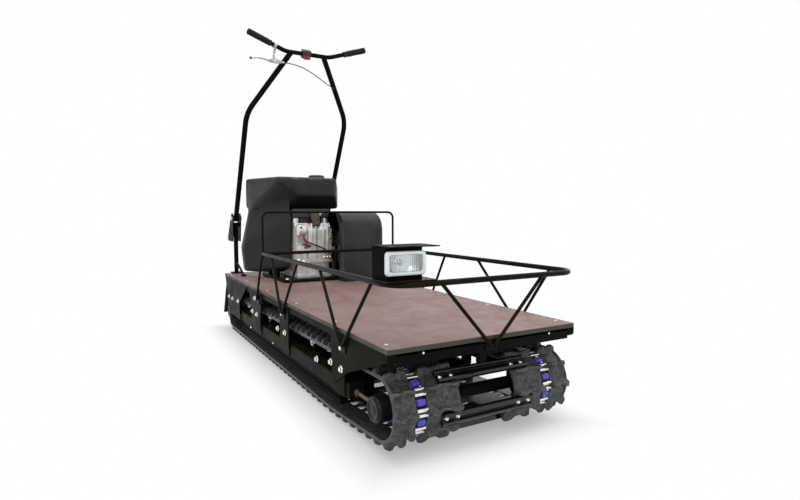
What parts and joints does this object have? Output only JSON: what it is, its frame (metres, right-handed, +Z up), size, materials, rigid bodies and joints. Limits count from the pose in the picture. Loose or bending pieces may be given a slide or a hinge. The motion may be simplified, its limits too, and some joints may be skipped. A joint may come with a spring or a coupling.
{
  "type": "tracked snow tug",
  "caption": "Walk-behind tracked tug with a flat cargo deck, guard rail, rear engine and belt drive, and a handlebar that folds forward.",
  "frame": {"origin": "on the ground, under the middle of the machine's box", "axes": "+X forward along the machine, +Y to its left, +Z up"},
  "size_m": [2.149, 0.73, 1.6051],
  "materials": {
    "deck_film": "satin",
    "frame_black": "satin",
    "belt_rubber": "matte",
    "bar_steel": "matte",
    "sprocket_plastic": "matte",
    "steel": "brushed",
    "zinc_yellow": "satin",
    "black_plastic": "matte",
    "slide_plastic": "matte",
    "flap_rubber": "matte",
    "engine_alloy": "cast",
    "muffler_steel": "matte",
    "tank_plastic": "matte",
    "cover_black": "satin",
    "lens_glass": "clear",
    "reflector": "polished",
    "grip_rubber": "matte",
    "lever_alloy": "satin",
    "red_plastic": "gloss",
    "cable_black": "matte"
  },
  "bodies": {
    "chassis": {"deck_board": "deck_film", "deck_side_rails": "frame_black", "deck_cross_members": "frame_black", "front_side_plates": "frame_black", "side_brackets": "frame_black", "side_beams": "frame_black", "beam_tabs": "frame_black", "cross_tubes": "frame_black", "slide_rails": "frame_black", "slide_hangers": "frame_black", "slide_shoes": "slide_plastic", "track_belt_right": "belt_rubber", "track_belt_left": "belt_rubber", "track_cross_bars": "bar_steel", "idler_axle": "steel", "idler_sprockets": "sprocket_plastic", "idler_hubs": "frame_black", "belt_tensioners": "zinc_yellow", "drive_axle": "steel", "drive_sprockets": "sprocket_plastic", "drive_hubs": "frame_black", "return_axles": "steel", "return_rollers": "black_plastic", "mud_flaps": "flap_rubber", "tow_tongue": "frame_black", "guard_rail_front": "frame_black", "guard_rail_sides": "frame_black", "engine_guard_hoop": "frame_black", "rail_struts_right": "frame_black", "rail_struts_left": "frame_black", "rail_struts_front": "frame_black", "strut_feet": "frame_black", "lamp_bracket": "frame_black", "lamp_housing": "black_plastic", "lamp_lens": "lens_glass", "lamp_reflector": "reflector", "engine_base": "frame_black", "engine_crankcase": "engine_alloy", "engine_cylinder": "engine_alloy", "engine_muffler": "muffler_steel", "air_box": "black_plastic", "starter_motor": "steel", "starter_cable": "cable_black", "fuel_tank": "tank_plastic", "tank_feet": "frame_black", "fuel_cap": "black_plastic", "drive_cover": "cover_black", "drive_pulley": "steel", "driven_pulley": "steel", "handlebar_posts": "frame_black", "hinge_bolts": "steel"},
    "handlebar": {"handlebar": "frame_black", "upright_right": "frame_black", "upright_left": "frame_black", "grips": "grip_rubber", "hand_lever": "lever_alloy", "lever_tip": "red_plastic", "control_cable": "cable_black", "stop_switch": "black_plastic", "stop_button": "red_plastic"}
  },
  "joints": [
    {"name": "handlebar_fold", "type": "hinge", "parent": "chassis", "child": "handlebar", "pos_m": [-0.9355, 0, 0.66], "axis": [0, 1, 0], "range_deg": [-25, 45]}
  ]
}
